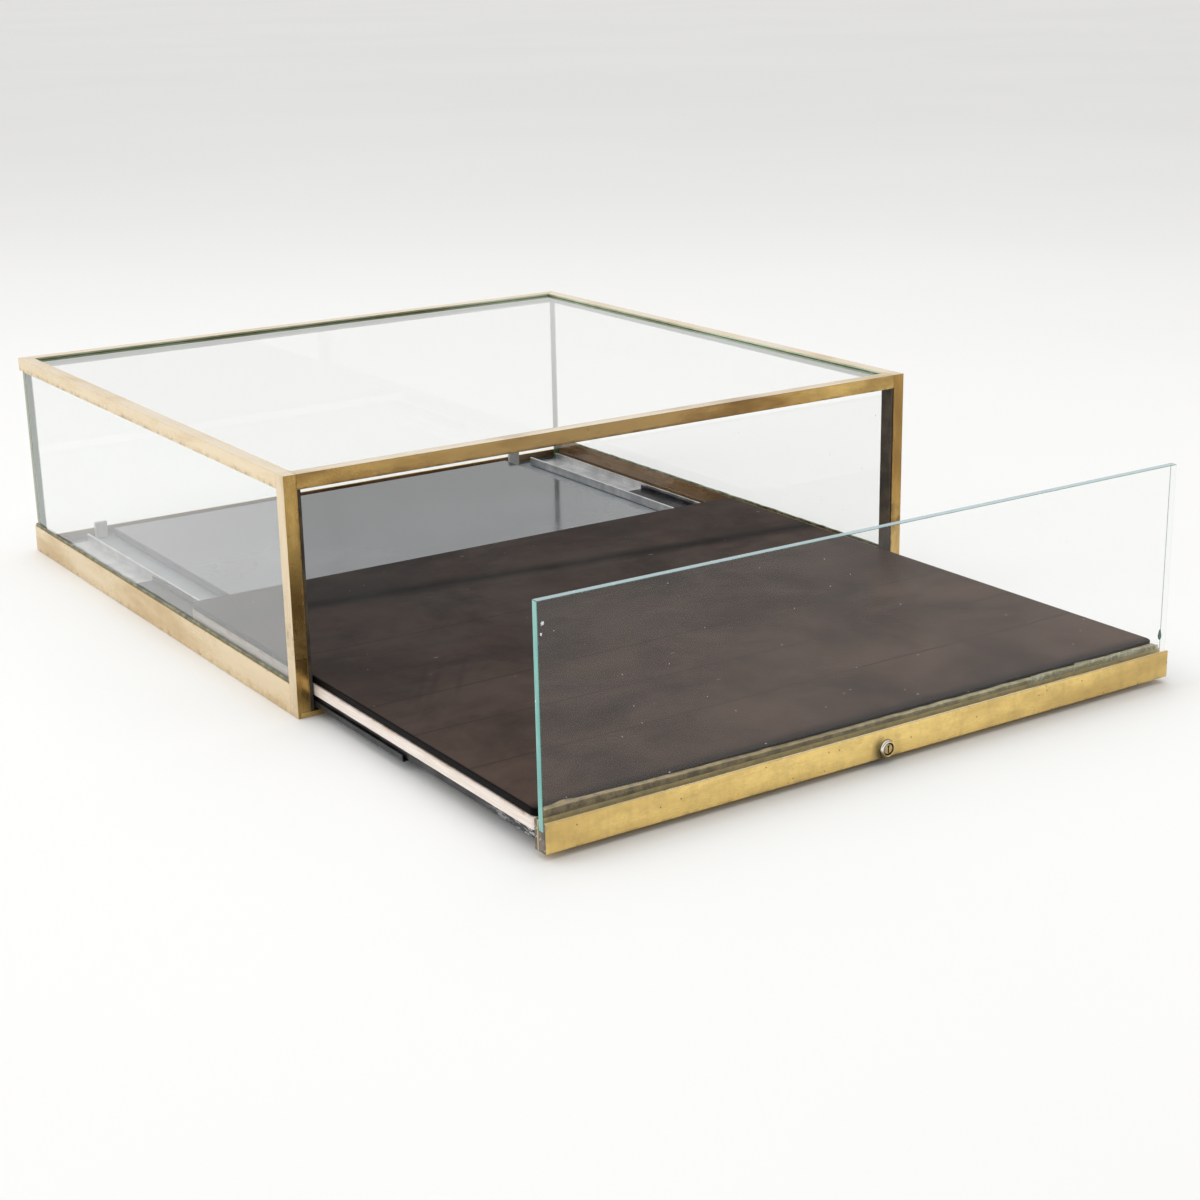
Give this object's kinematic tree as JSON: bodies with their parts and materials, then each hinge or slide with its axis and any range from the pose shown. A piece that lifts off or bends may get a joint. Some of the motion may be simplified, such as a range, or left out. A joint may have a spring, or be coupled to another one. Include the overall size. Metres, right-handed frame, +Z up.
{
  "type": "tabletop display case",
  "caption": "Glass-topped table display case in a slim brass frame, with a lockable slide-out display tray that carries the front pane.",
  "frame": {"origin": "middle of the case's underside, on the table", "axes": "+Z up, -Y out of the case's front, the way the tray is drawn; +X to the right seen from the front"},
  "size_m": [0.6, 0.9122, 0.19],
  "materials": {
    "aged_brass": "aged, handled brass with blotchy patina and olive tarnish along its edges",
    "clear_glass": "clear float glass with pale green polished edges",
    "corner_bond": "clear adhesive line between two panes, greenish where it is looked along",
    "glazing_bead": "thin olive sealant line",
    "side_seal": "dark brown strip",
    "base_board": "light grey satin",
    "deck_panel": "light grey, glossy enough to mirror the room",
    "back_stop": "pale soft pad",
    "zinc_steel": "zinc plated, satin",
    "dark_steel": "dark oiled steel, scuffed to bare metal near the front",
    "tray_board": "cream painted edge",
    "tray_cover": "dark brown mottled covering with black edges, a few scuffs and specks",
    "packing_strip": "matt black",
    "glass_bedding": "brown-olive adhesive, uneven",
    "nickel": "worn nickel plate"
  },
  "bodies": {
    "case": {"back_stop_left": "back_stop", "back_stop_right": "back_stop", "base_board": "base_board", "bottom_rail_back": "aged_brass", "bottom_rail_left": "aged_brass", "bottom_rail_right": "aged_brass", "corner_bond_left": "corner_bond", "corner_bond_right": "corner_bond", "deck_panel": "deck_panel", "front_post_left": "aged_brass", "front_post_right": "aged_brass", "front_threshold": "aged_brass", "glass_back": "clear_glass", "glass_left": "clear_glass", "glass_right": "clear_glass", "glass_top": "clear_glass", "glazing_bead_left": "glazing_bead", "glazing_bead_right": "glazing_bead", "side_seal_left": "side_seal", "side_seal_right": "side_seal", "slide_left_outer": "zinc_steel", "slide_right_outer": "zinc_steel", "slide_screw_left_1": "zinc_steel", "slide_screw_left_2": "zinc_steel", "slide_screw_left_3": "zinc_steel", "slide_screw_right_1": "zinc_steel", "slide_screw_right_2": "zinc_steel", "slide_screw_right_3": "zinc_steel", "top_rail_back": "aged_brass", "top_rail_front": "aged_brass", "top_rail_left": "aged_brass", "top_rail_right": "aged_brass"},
    "tray": {"front_bar": "aged_brass", "front_glass": "clear_glass", "glass_bedding": "glass_bedding", "lock_body": "nickel", "lock_nut": "nickel", "packing_strip_left": "packing_strip", "packing_strip_right": "packing_strip", "slide_left_inner": "dark_steel", "slide_right_inner": "dark_steel", "tray_board": "tray_board", "tray_cover": "tray_cover", "tray_screw_left_1": "zinc_steel", "tray_screw_left_2": "zinc_steel", "tray_screw_right_1": "zinc_steel", "tray_screw_right_2": "zinc_steel"},
    "lock_core": {"lock_plug": "nickel", "lock_cam": "zinc_steel", "cam_screw": "zinc_steel"},
    "left_runner": {"slide_left_middle": "zinc_steel"},
    "right_runner": {"slide_right_middle": "zinc_steel"}
  },
  "joints": [
    {"name": "tray_slide", "type": "slide", "parent": "case", "child": "tray", "axis": [0, -1, 0], "range_m": [-0.33, 0.07]},
    {"name": "left_runner_slide", "type": "slide", "parent": "case", "child": "left_runner", "axis": [0, -1, 0], "range_m": [-0.165, 0.035]},
    {"name": "right_runner_slide", "type": "slide", "parent": "case", "child": "right_runner", "axis": [0, -1, 0], "range_m": [-0.165, 0.035]},
    {"name": "lock_turn", "type": "hinge", "parent": "tray", "child": "lock_core", "pos_m": [0, -0.62, 0.0111], "axis": [0, 1, 0], "range_deg": [0, 90]}
  ],
  "couplings": [
    {"joint": "left_runner_slide", "follows": "tray_slide", "ratio": 0.5},
    {"joint": "right_runner_slide", "follows": "tray_slide", "ratio": 0.5}
  ]
}
